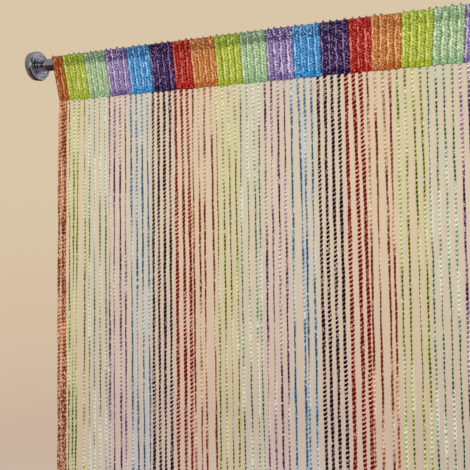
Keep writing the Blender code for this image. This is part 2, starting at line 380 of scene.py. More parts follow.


# the flat yarn of each colour, in the order of yarnKeys: its open tape, the painted highlight between its
# stitches, its thread and the stitch marks in its core, darker yarn and painted shade in the stitch hollows;
# then
# share: of a stitch, that a mark takes; fill: what density adds to it; core: width of the marks
# open: how strong the marks stay where it is open; cover: how far the thread hides the tape
# bias: how dense it is on the whole; width: in metres where open; narrowing: share of it lost where dense
# flecks: share painted pale as glints; joined: how far the marks run together in the middle
# turning: how much it turns on its way down
yarnKeys = ("tape", "light", "thread", "mark", "share", "fill", "core", "open", "cover", "bias", "width",
            "narrowing", "flecks", "joined", "turning")
yarnLook = {
    "orange": (
        (220, 142, 92), (246, 202, 164), (164, 74, 26), (102, 34, 2),
        0.4, 0.2, 1.05, 0.65, 1.0, 0.25, 0.0068, 0.05, 0.18, 0.1, 0.3),
    "amber": (
        (230, 196, 154), (244, 222, 190), (184, 88, 32), (90, 22, 0),
        0.46, 0.34, 0.8, 0.52, 1.0, 0.22, 0.0052, 0.28, 0.08, 0.15, 1.0),
    "lime": (
        (216, 216, 154), (238, 240, 190), (164, 180, 34), (32, 42, 0),
        0.44, 0.22, 0.72, 0.52, 1.0, 0.08, 0.0056, 0.36, 0.09, 0.15, 1.0),
    "mint": (
        (218, 222, 196), (232, 238, 218), (138, 178, 148), (6, 34, 20),
        0.44, 0.22, 0.68, 0.54, 0.9, 0.04, 0.0057, 0.4, 0.09, 0.15, 1.0),
    "lilac": (
        (224, 204, 196), (244, 230, 230), (142, 96, 164), (28, 0, 44),
        0.5, 0.28, 0.8, 0.62, 1.0, 0.14, 0.0056, 0.32, 0.09, 0.15, 1.0),
    "blue": (
        (196, 206, 202), (222, 232, 234), (70, 152, 192), (8, 70, 108),
        0.5, 0.32, 0.76, 0.6, 1.0, 0.16, 0.0054, 0.3, 0.11, 0.15, 1.0),
    "indigo": (
        (210, 178, 172), (222, 194, 186), (88, 48, 108), (8, 0, 10),
        0.54, 0.12, 1.2, 1.0, 0.8, 0.18, 0.0055, 0.08, 0.06, 0.22, 0.6),
    "red": (
        (240, 176, 154), (244, 186, 166), (184, 18, 18), (104, 0, 0),
        0.52, 0.18, 1.15, 1.0, 0.75, 0.22, 0.0063, 0.1, 0.06, 0.22, 0.5),
}
yarnFinish = {
    "fleckScale": 560.0, "paintedGlintShows": 0.7, "fleckGloss": 0.35, "roughness": 0.6, "gloss": 0.06,
    "relief": (0.0003, 0.7),    # depth in metres, strength
    "lightWhereOpen": 0.6, "lightLost": 0.45,   # the painted highlight between stitches, and what density takes off it
}


def yarnValues(colour):
    return dict(zip(yarnKeys, yarnLook[colour]))


def makeYarnMaterial(colour):
    look = yarnValues(colour)
    material, tree, shader = newMaterial("yarn " + colour)
    density = addNode(tree, "Attribute")
    density.attribute_name = "yarnDensity"
    dense = density.outputs["Fac"]
    stitch = useGroup(tree, stitchGroup, Coordinate=uvPlace(tree, "stitches"), Density=dense,
                      Mark_Share=look["share"], Filling=look["fill"], Core_Width=look["core"],
                      Joined=look["joined"])
    paintedGlint = addPaintedGlints(tree, yarnFinish["fleckScale"], look["flecks"])
    ground = mixColour(tree, times(tree, dense, look["cover"]), linear(look["tape"]), linear(look["thread"]))
    between = minus(tree, yarnFinish["lightWhereOpen"], times(tree, dense, yarnFinish["lightLost"]))
    # painted highlight between the stitches
    lit = mixColour(tree, times(tree, stitch["Light"], between), ground, linear(look["light"]))
    strength = plus(tree, look["open"], times(tree, dense, 1.0 - look["open"]))
    # stitch marks: darker yarn and painted shade in the stitch hollows
    marked = mixColour(tree, times(tree, stitch["Mark"], strength), lit, linear(look["mark"]))
    finishThread(tree, shader, marked, linear(look["light"]), paintedGlint, stitch["Height"], yarnFinish)
    return material


# how far up the heading each look reaches, in metres from the hem along the cloth, and its contrast
knitZone = {
    "hemEnd": 0.012, "hemFade": 0.006, "rodStart": 0.0520, "rodFade": 0.004,
    # where the painted shade of the rod zone begins to give way to painted light from the right, where it is
    # palest, in pitches, and what share of that shade it keeps
    "palerFrom": 28, "palerTo": 60, "palerKeep": 0.45,
    # strengths of the painted shade of valleys and loops, of dark specks and patches, and of the painted
    # highlights
    "valley": 0.80, "loop": 0.24, "speck": 0.84, "cloud": 0.28, "cloudComes": (0.42, 0.64),
    "light": 0.16, "lightOnRod": 0.08, "line": 0.86, "lineOnRod": 0.36,
    "plainHem": 0.30,       # what is left of the painted highlights of light and line at the hem
}
knitFinish = {
    "fleckScale": 760.0, "fleckShare": 0.08, "paintedGlintShows": 0.6, "fleckGloss": 0.35, "roughness": 0.62,
    "gloss": 0.06, "relief": (0.0004, 0.8),
}


def makeKnitMaterial(colour):
    palette = tonesWithPaintedLight(colour)
    zone = knitZone
    material, tree, shader = newMaterial("knit " + colour)
    cloth = uvPlace(tree, "knit")
    knit = useGroup(tree, knitGroup, Coordinate=cloth)
    paintedGlint = addPaintedGlints(tree, knitFinish["fleckScale"], knitFinish["fleckShare"])
    split = separate(tree, cloth)
    # distance from the nearer hem, so that front and back are alike
    along = math2(tree, "MINIMUM", split["Y"], minus(tree, clothLength, split["Y"]))
    # painted shade where the rod lies behind the cloth, lifted towards the right by painted light
    onRod = remap(tree, along, zone["rodStart"], zone["rodStart"] + zone["rodFade"])
    paler = remap(tree, split["X"], zone["palerFrom"], zone["palerTo"], 1.0, zone["palerKeep"])
    onRod = times(tree, onRod, paler)
    offHem = remap(tree, along, zone["hemEnd"] - zone["hemFade"], zone["hemEnd"])
    tone = mixColour(tree, offHem, palette["hem"], palette["mid"])
    tone = mixColour(tree, onRod, tone, palette["rod"])
    cloudy = times(tree, remap(tree, knit["Cloud"], *zone["cloudComes"]), zone["cloud"])
    tone = mixColour(tree, cloudy, tone, palette["deep"])
    for mark in ("loop", "speck", "valley"):        # painted shade of loops, dark specks and painted shade of valleys first, then the painted highlights
        tone = mixColour(tree, times(tree, knit[mark.capitalize()], zone[mark]), tone, palette["deep"])
    # the hem is plainer, with fewer painted highlights
    plain = plus(tree, zone["plainHem"], times(tree, offHem, 1.0 - zone["plainHem"]))
    for mark in ("light", "line"):
        lost = times(tree, onRod, zone[mark] - zone[mark + "OnRod"])
        strength = times(tree, minus(tree, zone[mark], lost), plain)
        tone = mixColour(tree, times(tree, knit[mark.capitalize()], strength), tone, palette["pale"])
    finishThread(tree, shader, tone, palette["pale"], paintedGlint, knit["Height"], knitFinish)
    return material


chromeFinish = {
    "smearScale": 60.0, "smearComes": (0.4, 0.7), "roughness": (0.025, 0.08),
    "toneScale": 25.0, "tones": ((226, 226, 232), (205, 207, 216)),
}


def makeChromeMaterial():
    look = chromeFinish
    material, tree, shader = newMaterial("chrome plate")
    where = objectPlace(tree)
    smear = noise(tree, where, look["smearScale"], detail=3.0)
    tree.links.new(remap(tree, smear, *look["smearComes"], *look["roughness"]), shader.inputs["Roughness"])
    tone = noise(tree, where, look["toneScale"])
    tree.links.new(mixColour(tree, tone, *map(linear, look["tones"])), shader.inputs["Base Color"])
    shader.inputs["Metallic"].default_value = 1.0
    return material


rubberFinish = {
    "grainScale": 900.0, "grainComes": (0.3, 0.7), "roughness": (0.62, 0.8), "relief": (0.0002, 0.5),
    "dustScale": 70.0, "dustComes": (0.4, 0.75), "tones": ((92, 90, 92), (126, 122, 122)),
}


def makeRubberMaterial():
    look = rubberFinish
    material, tree, shader = newMaterial("grey rubber")
    where = objectPlace(tree)
    grain = noise(tree, where, look["grainScale"], detail=3.0)
    dust = remap(tree, noise(tree, where, look["dustScale"], detail=3.0), *look["dustComes"])
    tree.links.new(mixColour(tree, dust, *map(linear, look["tones"])), shader.inputs["Base Color"])
    tree.links.new(remap(tree, grain, *look["grainComes"], *look["roughness"]), shader.inputs["Roughness"])
    addBump(tree, shader, grain, *look["relief"])
    return material


# meshes

def newMesh(name, points, faces, materials, slots=None):
    mesh = bpy.data.meshes.new(name)
    mesh.from_pydata(points, [], faces)
    for material in materials:
        mesh.materials.append(material)
    if slots is not None:
        mesh.polygons.foreach_set("material_index", np.asarray(slots, np.int32))
    return mesh


def setUv(mesh, layer, uvOfPoint):
    corners = np.zeros(len(mesh.loops), np.int32)
    mesh.loops.foreach_get("vertex_index", corners)
    mesh.uv_layers.new(name=layer).data.foreach_set("uv", uvOfPoint[corners].ravel())


def gridFaces(rows, columns):
    # quads of a tube whose vertices run ring by ring
    r, c = np.meshgrid(np.arange(rows - 1), np.arange(columns), indexing="ij")
    here = r * columns + c
    right = r * columns + (c + 1) % columns
    return np.stack([here, right, right + columns, here + columns], -1).reshape(-1, 4)


def linkObject(name, mesh):
    thing = bpy.data.objects.new(name, mesh)
    bpy.context.scene.collection.objects.link(thing)
    return thing


# rod and its ends

metal = {
    "rodRadius": 0.0095, "rodEase": 0.0004, "padThickness": 0.0055, "gap": 0.0003,
    "turnSteps": 96, "cornerSteps": 4, "cornerShare": 0.49, "weldDistance": 0.000002, "sharpDegrees": 50,
}
# radius, height, corner rounding, all in metres, from the socket over the stepped face to the back
cupOutline = (
    (0.0, 0.0040, 0.0), (0.0099, 0.0040, 0.0), (0.0099, 0.0125, 0.0002), (0.0124, 0.0125, 0.0009),
    (0.0126, 0.0080, 0.0006), (0.0153, 0.0090, 0.0016), (0.0176, 0.0074, 0.0008), (0.0202, 0.0085, 0.0018),
    (0.0231, 0.0077, 0.0014), (0.0239, 0.0050, 0.0014), (0.0237, 0.0006, 0.0010), (0.0229, 0.0, 0.0004),
    (0.0, 0.0, 0.0),
)
padOutline = (
    (0.0, 0.0055, 0.0), (0.0216, 0.0055, 0.0010), (0.0230, 0.0040, 0.0010), (0.0223, 0.0030, 0.0006),
    (0.0230, 0.0018, 0.0008), (0.0228, 0.0, 0.0006), (0.0, 0.0, 0.0),
)


def roundOutline(outline, steps):
    # swap each corner for a small curve that starts and ends its rounding away from it
    points = []
    for here in range(len(outline)):
        corner = Vector(outline[here][:2])
        rounding = outline[here][2]
        if rounding == 0.0 or here in (0, len(outline) - 1):
            points.append(corner)
            continue
        before = Vector(outline[here - 1][:2]) - corner
        after = Vector(outline[here + 1][:2]) - corner
        start = corner + before.normalized() * min(rounding, before.length * metal["cornerShare"])
        end = corner + after.normalized() * min(rounding, after.length * metal["cornerShare"])
        for step in range(steps + 1):
            t = step / steps
            points.append(start * (1 - t) ** 2 + corner * 2 * t * (1 - t) + end * t ** 2)
    return points


def turnPiece(name, outline, material, x, turn):
    mesh = bpy.data.meshes.new(name)
    bm = bmesh.new()
    row = [bm.verts.new((point.x, 0.0, point.y)) for point in roundOutline(outline, metal["cornerSteps"])]
    for first, second in zip(row, row[1:]):
        bm.edges.new((first, second))
    bmesh.ops.spin(bm, geom=bm.verts[:] + bm.edges[:], cent=(0, 0, 0), axis=(0, 0, 1),
                   angle=2 * math.pi, steps=metal["turnSteps"], use_merge=True)
    bmesh.ops.remove_doubles(bm, verts=bm.verts, dist=metal["weldDistance"])
    bmesh.ops.recalc_face_normals(bm, faces=bm.faces)
    bm.to_mesh(mesh)
    bm.free()
    mesh.transform(Matrix.Translation((x, 0, 0)) @ Matrix.Rotation(turn, 4, "Y"))
    mesh.shade_smooth()
    mesh.set_sharp_from_angle(angle=math.radians(metal["sharpDegrees"]))
    mesh.materials.append(material)
    return linkObject(name, mesh)


def makeRod(material):
    low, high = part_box("rod")
    radius = metal["rodRadius"]
    ends = ((0.0, high.x, 0.0), (radius, high.x, metal["rodEase"]), (radius, low.x, metal["rodEase"]),
            (0.0, low.x, 0.0))
    rod = turnPiece("rodTube", ends, material, 0.0, math.pi / 2)
    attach(rod, "root")
    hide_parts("rod")


def makeEnds(chrome, rubber):
    wall = cadHigh.x
    back = metal["padThickness"] + metal["gap"]
    ends = (("left", math.pi / 2, back, 0.0), ("right", -math.pi / 2, wall - back, wall))
    for side, facing, cupX, padX in ends:
        cup = turnPiece("cup" + side.capitalize(), cupOutline, chrome, cupX, facing)
        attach(cup, "root")
        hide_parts("cup_" + side)
        pad = turnPiece("pad" + side.capitalize(), padOutline, rubber, padX, facing)
        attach(pad, "root")
        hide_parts("pad_" + side)


# the heading: knitted double layer over the rod

heading = {
    "outerRadius": 0.0121, "innerRadius": 0.0100,   # cloth over the rod
    "hemHalfWidth": 0.0013, "pocketHalfWidth": 0.0004, "pocketBottom": -0.0530,
    "columnsPerRib": 4, "rowLength": 0.00125, "innerRows": 9,
    "ribRise": 0.00105, "waleRise": 0.00045, "loopRise": 0.00045, "loopLength": 0.00375,
    "ribRoundness": 0.7, "ribSink": 0.35,           # below 1 is fuller; share of the rise that lies inside
    "loopStep": 0.35, "loopInValley": 0.4,          # loops from one wale to the next; what a valley keeps
    "flatOnRod": 0.70, "rodFade": 0.004,            # relief left where the rod stretches it
    "tuck": 0.25, "tuckWaves": ((3.1, 40), (1.7, -90)),   # slow unevenness, in radians a pitch and a metre
    "waveRise": 0.0006, "wave": (0.21, 1.0),        # the hem's swing in and out: radians a pitch, start
    "hemRagged": 0.0009, "raggedWave": (0.5, 1.3),  # its drop between ribs; a slow share, radians a pitch
    "hemFade": 0.004,
}


def sectionLine(radius, bottomHalf, bottomZ):
    # half-round over the rod, straight to the hem on both sides: its angle there and the lengths of both
    reach = math.hypot(bottomHalf, bottomZ)
    tangent = math.atan2(bottomZ, bottomHalf) + math.acos(radius / reach)
    straight = math.hypot(bottomHalf - radius * math.cos(tangent), bottomZ - radius * math.sin(tangent))
    arc = (math.pi - 2 * tangent) * radius
    return tangent, straight, arc


def sectionPoint(radius, bottomHalf, bottomZ, length):
    # place and outward direction on the section, this far along the cloth from the front hem
    tangent, straight, arc = sectionLine(radius, bottomHalf, bottomZ)
    angle = math.pi - tangent - np.clip(length - straight, 0.0, arc) / radius
    outY, outZ = np.cos(angle), np.sin(angle)
    before = np.clip(straight - length, 0.0, None)
    after = np.clip(length - straight - arc, 0.0, None)
    slopeY, slopeZ = -math.sin(tangent), -math.cos(tangent)
    y = radius * outY + (before - after) * slopeY
    z = radius * outZ + (before + after) * slopeZ
    return y, z, outY, outZ


straightLength, arcLength = sectionLine(heading["outerRadius"], heading["hemHalfWidth"], place["hemZ"])[1:]
clothLength = 2 * straightLength + arcLength


def knitRelief(pitches, along):
    # outward rise of ribs, wales and loops in metres, flatter where the rod stretches the cloth
    turn = 2 * np.pi
    rib = np.abs(np.sin(np.pi * pitches)) ** heading["ribRoundness"]
    wale = -np.cos(turn * 2 * pitches)
    loop = np.sin(turn * (along / heading["loopLength"] + heading["loopStep"] * np.floor(pitches * 2)))
    past = np.clip((along - straightLength) / heading["rodFade"], 0, 1)
    overRod = past * np.clip((straightLength + arcLength - along) / heading["rodFade"], 0, 1)
    keep = 1 - (1 - heading["flatOnRod"]) * overRod
    first, second = (np.sin(a * pitches + b * along) for a, b in heading["tuckWaves"])
    tuck = (1 - heading["tuck"]) + heading["tuck"] * first * second
    shown = heading["loopInValley"] + (1 - heading["loopInValley"]) * rib
    return keep * tuck * (heading["ribRise"] * (rib - heading["ribSink"]) + heading["waleRise"] * wale * rib
                          + heading["loopRise"] * loop * shown)


def headingSkin(pitches, along, radius, half, bottom, outside):
    y, z, outY, outZ = sectionPoint(radius, half, bottom, along)
    columns, rows = np.meshgrid(pitches, along, indexing="ij")
    height = (z - place["hemZ"]) / place["headingHeight"]
    grid = np.zeros((len(pitches), len(along), 3))
    grid[..., 0] = place["boundaryX"] + columns * place["pitch"] - readTable(headingLean, columns) * height
    grid[..., 0] -= readTable(ribStep, columns) * y / heading["outerRadius"]
    speed, start = heading["wave"]
    wave = heading["waveRise"] * np.sin(speed * columns + start) * (1 - np.clip(height, 0, 1))
    grid[..., 1] = y + wave
    grid[..., 2] = z
    if outside:
        rise = knitRelief(columns, rows)
        nearHem = np.exp(-np.minimum(along, along[-1] - along) / heading["hemFade"])
        size, speed = heading["raggedWave"]
        ragged = 1 - np.abs(np.sin(np.pi * columns)) + size * np.sin(speed * columns)
        grid[..., 1] += rise * outY
        grid[..., 2] += rise * outZ + heading["hemRagged"] * ragged * nearHem
    return grid


def makeHeading(knitMaterials):
    ribs = lastPitch + place["firstBandPitches"]
    pitches = np.linspace(-place["firstBandPitches"], lastPitch, ribs * heading["columnsPerRib"] + 1)
    along = np.linspace(0.0, clothLength, int(round(clothLength / heading["rowLength"])) + 1)
    outer = headingSkin(pitches, along, heading["outerRadius"], heading["hemHalfWidth"], place["hemZ"], True)
    pocket = (heading["innerRadius"], heading["pocketHalfWidth"], heading["pocketBottom"])
    innerStraight, innerArc = sectionLine(*pocket)[1:]
    innerAlong = np.linspace(0.0, 2 * innerStraight + innerArc, heading["innerRows"] * 2 + 1)
    inner = headingSkin(pitches, innerAlong, *pocket, False)

    columnTotal, outerRows, innerRows = len(pitches), len(along), len(innerAlong)
    points = np.concatenate([outer.reshape(-1, 3), inner.reshape(-1, 3)])
    outerFaces = gridFaces(columnTotal, outerRows)
    innerFaces = gridFaces(columnTotal, innerRows)[:, ::-1] + columnTotal * outerRows

    # colour of a face: the band its rib is in
    middle = (np.arange(columnTotal - 1) + 0.5) / heading["columnsPerRib"] - place["firstBandPitches"]
    order = list(knitMaterials)
    slotOfColumn = np.array([order.index(bands[k][0]) for k in bandAt(middle)])
    slots = np.concatenate([np.repeat(slotOfColumn, rows) for rows in (outerRows, innerRows)])
    mesh = newMesh("headingKnit", points.tolist(), outerFaces.tolist() + innerFaces.tolist(),
                   knitMaterials.values(), slots)
    uvs = [np.stack(np.meshgrid(pitches, rows, indexing="ij"), -1) for rows in (along, innerAlong)]
    setUv(mesh, "knit", np.concatenate([uv.reshape(-1, 2) for uv in uvs]))

    # close both ends between the outer and the inner skin
    bm = bmesh.new()
    bm.from_mesh(mesh)
    bm.verts.ensure_lookup_table()
    for column in (0, columnTotal - 1):
        ring = [bm.verts[column * outerRows + k] for k in range(outerRows)]
        hole = [bm.verts[columnTotal * outerRows + column * innerRows + k] for k in range(innerRows)]
        rim = [bm.edges.get((a, b)) for loop in (ring, hole) for a, b in zip(loop, loop[1:] + loop[:1])]
        made = bmesh.ops.bridge_loops(bm, edges=rim)
        for face in made["faces"]:
            face.material_index = int(slotOfColumn[0 if column == 0 else -1])
    bmesh.ops.recalc_face_normals(bm, faces=bm.faces)
    bm.to_mesh(mesh)
    bm.free()
    mesh.shade_smooth()
    knit = linkObject("headingKnit", mesh)
    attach(knit, "root")
    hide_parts("heading")
    return knit


# small loops that stand on the top edge, one for each rib
picot = {
    "width": 0.0020, "rise": 0.0021, "yarn": 0.00074, "arcSteps": 7, "sides": 6,
    "angle": math.radians(97),      # where on the rod's round they stand
    "rooted": 0.4,                  # how far up the rib they start
    "stray": 0.12, "tilt": 0.35, "size": (0.65, 1.3), "missing": 0.15,
}


def makePicots(materials):
    points, faces, slots = [], [], []
    order = list(materials)
    draw = random.Random(seeds["picot"])
    top = heading["outerRadius"] + heading["ribRise"] * picot["rooted"]
    sides, arcSteps, yarn = picot["sides"], picot["arcSteps"], picot["yarn"]
    for rib in range(-place["firstBandPitches"], lastPitch):
        pitches = rib + 0.5 + draw.uniform(-picot["stray"], picot["stray"])
        x = place["boundaryX"] + pitches * place["pitch"] - float(readTable(headingLean, pitches))
        tilt = draw.uniform(-picot["tilt"], picot["tilt"])
        size = draw.uniform(*picot["size"])
        if draw.random() < picot["missing"]:
            continue
        slots += [order.index(bands[int(bandAt(rib))][0])] * (arcSteps * sides + 2)
        start = len(points)
        base = Vector((x, math.cos(picot["angle"]) * top, math.sin(picot["angle"]) * top))
        turned = Matrix.Rotation(math.pi / 2 - picot["angle"], 3, "X")
        for step in range(arcSteps + 1):
            bend = math.pi * step / arcSteps
            normal = Vector((math.cos(bend), 0.0, math.sin(bend)))
            inPlane = Vector((normal.x * picot["width"] / 2, 0.0, normal.z * picot["rise"])) * size
            for side in range(sides):
                around = 2 * math.pi * side / sides
                local = inPlane + normal * yarn * math.cos(around)
                local += Vector((0.0, yarn * math.sin(around), 0.0))
                points.append(base + turned @ (Matrix.Rotation(tilt, 3, "Z") @ local))
        faces += (gridFaces(arcSteps + 1, sides) + start).tolist()
        lastRing = start + arcSteps * sides
        faces.append(list(range(start + sides - 1, start - 1, -1)))
        faces.append(list(range(lastRing, lastRing + sides)))
    mesh = newMesh("picotLoops", points, faces, materials.values(), slots)
    mesh.shade_smooth()
    loops = linkObject("picotLoops", mesh)
    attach(loops, "root")
    return loops


picotFinish = {
    "fleckScale": 900.0, "fleckShare": 0.1, "toneScale": 300.0, "toneComes": (0.35, 0.65), "roughness": 0.5,
    "relief": (0.0002, 0.6),
}


def makePicotMaterial(colour):
    palette = tonesWithPaintedLight(colour)
    look = picotFinish
    material, tree, shader = newMaterial("picot " + colour)
    paintedGlint = addPaintedGlints(tree, look["fleckScale"], look["fleckShare"])
    tone = noise(tree, objectPlace(tree), look["toneScale"])
    # the loops' colour lies between the deep and the rod tone, both painted shade
    base = mixColour(tree, remap(tree, tone, *look["toneComes"]), palette["deep"], palette["rod"])
    # painted glints on the loops
    tree.links.new(mixColour(tree, paintedGlint, base, palette["pale"]), shader.inputs["Base Color"])
    shader.inputs["Roughness"].default_value = look["roughness"]
    addBump(tree, shader, tone, *look["relief"])
    return material


# the strings

stringSize = {
    "thickness": 0.0017, "stitch": 0.00595, "ringsPerStitch": 2,
    "waist": 0.70, "thin": 0.62,       # how narrow and thin the yarn is between two stitches
    "slant": 0.55,                     # how far the left edge of a stitch runs ahead, in widths
    "rootDepth": 0.003,                # how far the yarn reaches up into the hem
    "drop": 1.925, "endUnevenness": 0.004,
    "flatDepth": 0.10,                 # the yarn leaves the hem flat and turns freely from here on
    "wobble": 0.00018, "wobbleWaves": (95, 41),            # metres sideways, radians a metre
    "slackness": ((0.10, 60), (0.06, 210)),                # share of the width, radians a metre
}
# outline of the yarn's section, across it and through it, in widths and thicknesses
sectionU = np.array([-0.5, -0.24, 0.24, 0.5, 0.24, -0.24])
sectionV = np.array([0.0, -0.5, -0.5, 0.0, 0.5, 0.5])
sway = {"band": (0.0012, 0.0020), "string": 0.0004, "lengths": (0.9, 1.5), "leanDepth": 0.15}
# a slow drift with quicker swings on it: lengths in metres and sizes in radians
turning = {
    "start": 0.4, "swings": ((0.62, 0.40), (0.27, 0.30), (0.13, 0.15)), "spread": (0.8, 1.25), "atHem": 0.15,
}
# dense and open stretches: shortest and longest in metres, size
opening = {
    "stretches": ((0.22, 0.42, 0.42), (0.09, 0.15, 0.26), (0.035, 0.05, 0.10)), "spread": 0.12,
    "contrast": 1.5, "atHem": 0.45,    # few stretches lie in between, and they are weaker near the hem
}
# strings that hang away from their place: number from the left, sideways, inwards, in metres
leaningStrings = (
    (0, -0.0035, 0.0), (1, -0.0020, 0.0010), (2, -0.0013, 0.0), (4, -0.0030, 0.0), (5, -0.0085, 0.0030),
    (9, 0.0015, 0.0), (10, 0.0025, 0.0), (12, -0.0020, 0.0010), (24, 0.0025, 0.0010), (25, 0.0030, 0.0),
    (28, -0.0015, 0.0), (29, 0.0030, 0.0010), (35, 0.0020, 0.0), (36, 0.0030, 0.0010), (43, 0.0045, 0.0020),
    (51, 0.0035, 0.0010), (52, 0.0030, 0.0), (55, 0.0040, 0.0010), (59, 0.0030, 0.0), (60, 0.0025, 0.0010),
)


def stringOffset(bandNumber, stringNumber, depth):
    # the slow sway that a band shares, each string's own, and the lean of those that hang askew
    sideways = np.zeros_like(depth)
    inwards = np.zeros_like(depth)
    draws = ((random.Random(seeds["band"] + bandNumber), *sway["band"]),
             (random.Random(seeds["string"] + stringNumber), sway["string"], sway["string"]))
    for draw, swayX, swayY in draws:
        wave = draw.uniform(*sway["lengths"])
        phaseX = draw.uniform(0.0, 2 * math.pi)
        phaseY = draw.uniform(0.0, 2 * math.pi)
        turn = 2 * math.pi * depth / wave
        sideways += swayX * (np.sin(turn + phaseX) - math.sin(phaseX)) / 2
        inwards += swayY * (np.sin(turn + phaseY) - math.sin(phaseY)) / 2
    settled = 1.0 - np.exp(-np.maximum(depth, 0.0) / sway["leanDepth"])
    for number, leanX, leanY in leaningStrings:
        if number == stringNumber:
            sideways += leanX * settled
            inwards += leanY * settled
    return sideways, inwards


def stringTurn(stringNumber, depth):
    # how the flat yarn turns on its way down
    draw = random.Random(seeds["turn"] + stringNumber)
    angle = draw.uniform(-turning["start"], turning["start"])
    for wave, size in turning["swings"]:
        wave *= draw.uniform(*turning["spread"])
        angle = angle + size * np.sin(2 * math.pi * depth / wave + draw.uniform(0.0, 2 * math.pi))
    return angle * np.clip(depth / stringSize["flatDepth"], turning["atHem"], 1.0)


def stringDensity(stringNumber, depth, bias):
    # 1 where the yarn has drawn itself into a narrow dark line, 0 where it lies open and pale
    draw = random.Random(seeds["density"] + stringNumber)
    value = 0.5 + bias + draw.uniform(-opening["spread"], opening["spread"])
    for low, high, size in opening["stretches"]:
        length = draw.uniform(low, high)
        value = value + size * np.sin(2 * math.pi * depth / length + draw.uniform(0.0, 2 * math.pi))
    value = 0.5 + opening["contrast"] * (value - 0.5)
    offHem = np.clip(depth / stringSize["flatDepth"], 0.0, 1.0)
    return np.clip(value * (opening["atHem"] + (1 - opening["atHem"]) * offHem), 0.0, 1.0)


def makeString(bandNumber, number, x, look):
    # points, stitch coordinates and density of one yarn, ring by ring from the hem down
    size = stringSize
    draw = random.Random(seeds["root"] + number)
    root = size["rootDepth"] + draw.uniform(0.0, size["stitch"])
    length = size["drop"] + draw.uniform(-size["endUnevenness"], 0.0) + root
    rings = int(length / (size["stitch"] / size["ringsPerStitch"])) + 1
    depth = np.linspace(0.0, length, rings) - root
    sideways, inwards = stringOffset(bandNumber, number, depth)
    own = random.Random(seeds["wobble"] + number)
    phases = [own.uniform(0, 2 * math.pi) for wave in range(3)]
    wobble = sum(np.sin(depth * speed + phase) for speed, phase in zip(size["wobbleWaves"], phases))
    slackness = 1 + sum(share * np.sin(depth * speed + phase)
                        for (share, speed), phase in zip(size["slackness"], phases[1:]))
    turn = stringTurn(number, depth) * look["turning"]
    density = stringDensity(number, depth, look["bias"])
    stitches = np.arange(rings) / size["ringsPerStitch"] + 0.5
    swell = 0.5 + 0.5 * np.cos(2 * math.pi * stitches)
    width = look["width"] * (1 - look["narrowing"] * density) * slackness
    width = width * (size["waist"] + (1 - size["waist"]) * swell)
    thick = size["thickness"] * (size["thin"] + (1 - size["thin"]) * swell)
    u = sectionU * width[:, None]
    v = sectionV * thick[:, None]
    cosT, sinT = np.cos(turn)[:, None], np.sin(turn)[:, None]
    slant = size["slant"] * u
    slant[0], slant[-1] = 0.0, 0.0
    points = np.zeros((rings, len(sectionU), 3))
    points[..., 0] = x + (sideways + size["wobble"] * wobble)[:, None] + u * cosT - v * sinT
    points[..., 1] = inwards[:, None] + u * sinT + v * cosT
    points[..., 2] = place["hemZ"] - depth[:, None] + slant
    uv = np.stack(np.meshgrid(sectionU + 0.5, stitches), -1)
    return points.reshape(-1, 3), uv.reshape(-1, 2), np.repeat(density, len(sectionU))


def makeBandStrings(bandNumber, material):
    colour, count = bands[bandNumber]
    firstString = int(bandEdges[bandNumber])
    start, step = firstString - bands[0][1], 1.0
    if bandNumber == 0:
        start, step = -place["firstBandPitches"], place["firstBandPitches"] / count
    cells = start + step * np.arange(count + 1)
    edges = place["boundaryX"] + cells * place["pitch"] + readTable(stringShift, cells)
    middles = (edges[:-1] + edges[1:]) / 2
    look = yarnValues(colour)
    made = [makeString(bandNumber, firstString + k, middles[k], look) for k in range(count)]
    points, uvs, densities = (np.concatenate(part) for part in zip(*made))
    sides = len(sectionU)
    faces, base = [], 0
    for total in (len(part[0]) for part in made):
        faces += (gridFaces(total // sides, sides)[:, ::-1] + base).tolist()
        faces.append([base + side for side in range(sides)])
        base += total
        faces.append([base - 1 - side for side in range(sides)])
    name = f"strings{bandNumber + 1:02d}{colour.capitalize()}"
    mesh = newMesh(name, points.tolist(), faces, [material])
    setUv(mesh, "stitches", uvs)
    mesh.attributes.new("yarnDensity", "FLOAT", "POINT").data.foreach_set("value", densities)
    mesh.shade_smooth()
    strings = linkObject(name, mesh)
    solidColour = slotOf.get(colour, "yarn_" + colour)
    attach(strings, "root")
    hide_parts(f"band_{bandNumber + 1:02d}_" + solidColour.split("_")[1])
    return strings


# floor, light and camera

studio = {
    "floorX": 0.5, "floorZ": -2.012, "floorReach": 12.0, "fadeStart": 1.6, "fadeEnd": 5.2,
    "floorColour": (244, 216, 196), "floorPatch": (236, 210, 188), "patchScale": 1.2,
    "floorRoughness": 0.9, "floorGloss": 0.1,
    "backHigh": (218, 198, 168), "backLow": (204, 180, 158), "backFade": (-0.5, 0.1),
    "soft": (0.92, 0.95, 1.0), "softStrength": 0.62,
}
# what the chrome mirrors. An edge is soft: its axis, where it starts and where it is full, on a ball of
# directions with X to the right, Y to the back and Z up
mirrored = {
    "left": (0.27, 0.265, 0.265, 1.0), "rightEdge": ("X", -0.05, 0.25),
    "right": (0.42, 0.36, 0.32, 1.0),
    "rightLow": (0.30, 0.30, 0.46, 1.0), "lowEdge": ("Z", -0.30, -0.42),
    "rightHigh": (0.52, 0.52, 0.56, 1.0), "highEdge": ("Z", 0.05, 0.24),
    "leftLow": (0.075, 0.026, 0.022, 1.0), "leftLowEdges": (("Z", -0.18, -0.34), ("X", -0.30, -0.46)),
    "dark": (0.006, 0.005, 0.006, 1.0),
    # behind, a band above, far right, and right in front
    "darkEdges": (
        (("X", 0.22, 0.12), ("Y", 0.35, 0.55), ("Z", 0.66, 0.56), ("Z", -0.75, -0.55)),
        (("Z", 0.50, 0.56), ("Z", 0.74, 0.66), ("X", -0.15, 0.05)),
        (("X", 0.74, 0.80),),
        (("X", 0.44, 0.52), ("Y", -0.40, -0.48)),
    ),
    # lamps that only the chrome shows: direction, cosines of its soft edge, level
    "glints": (((0.37, -0.925, 0.08), 0.980, 0.992, 2.6), ((-0.41, 0.909, 0.07), 0.980, 0.992, 2.6),
               ((-0.595, -0.80, 0.03), 0.990, 0.998, 0.9)),
}
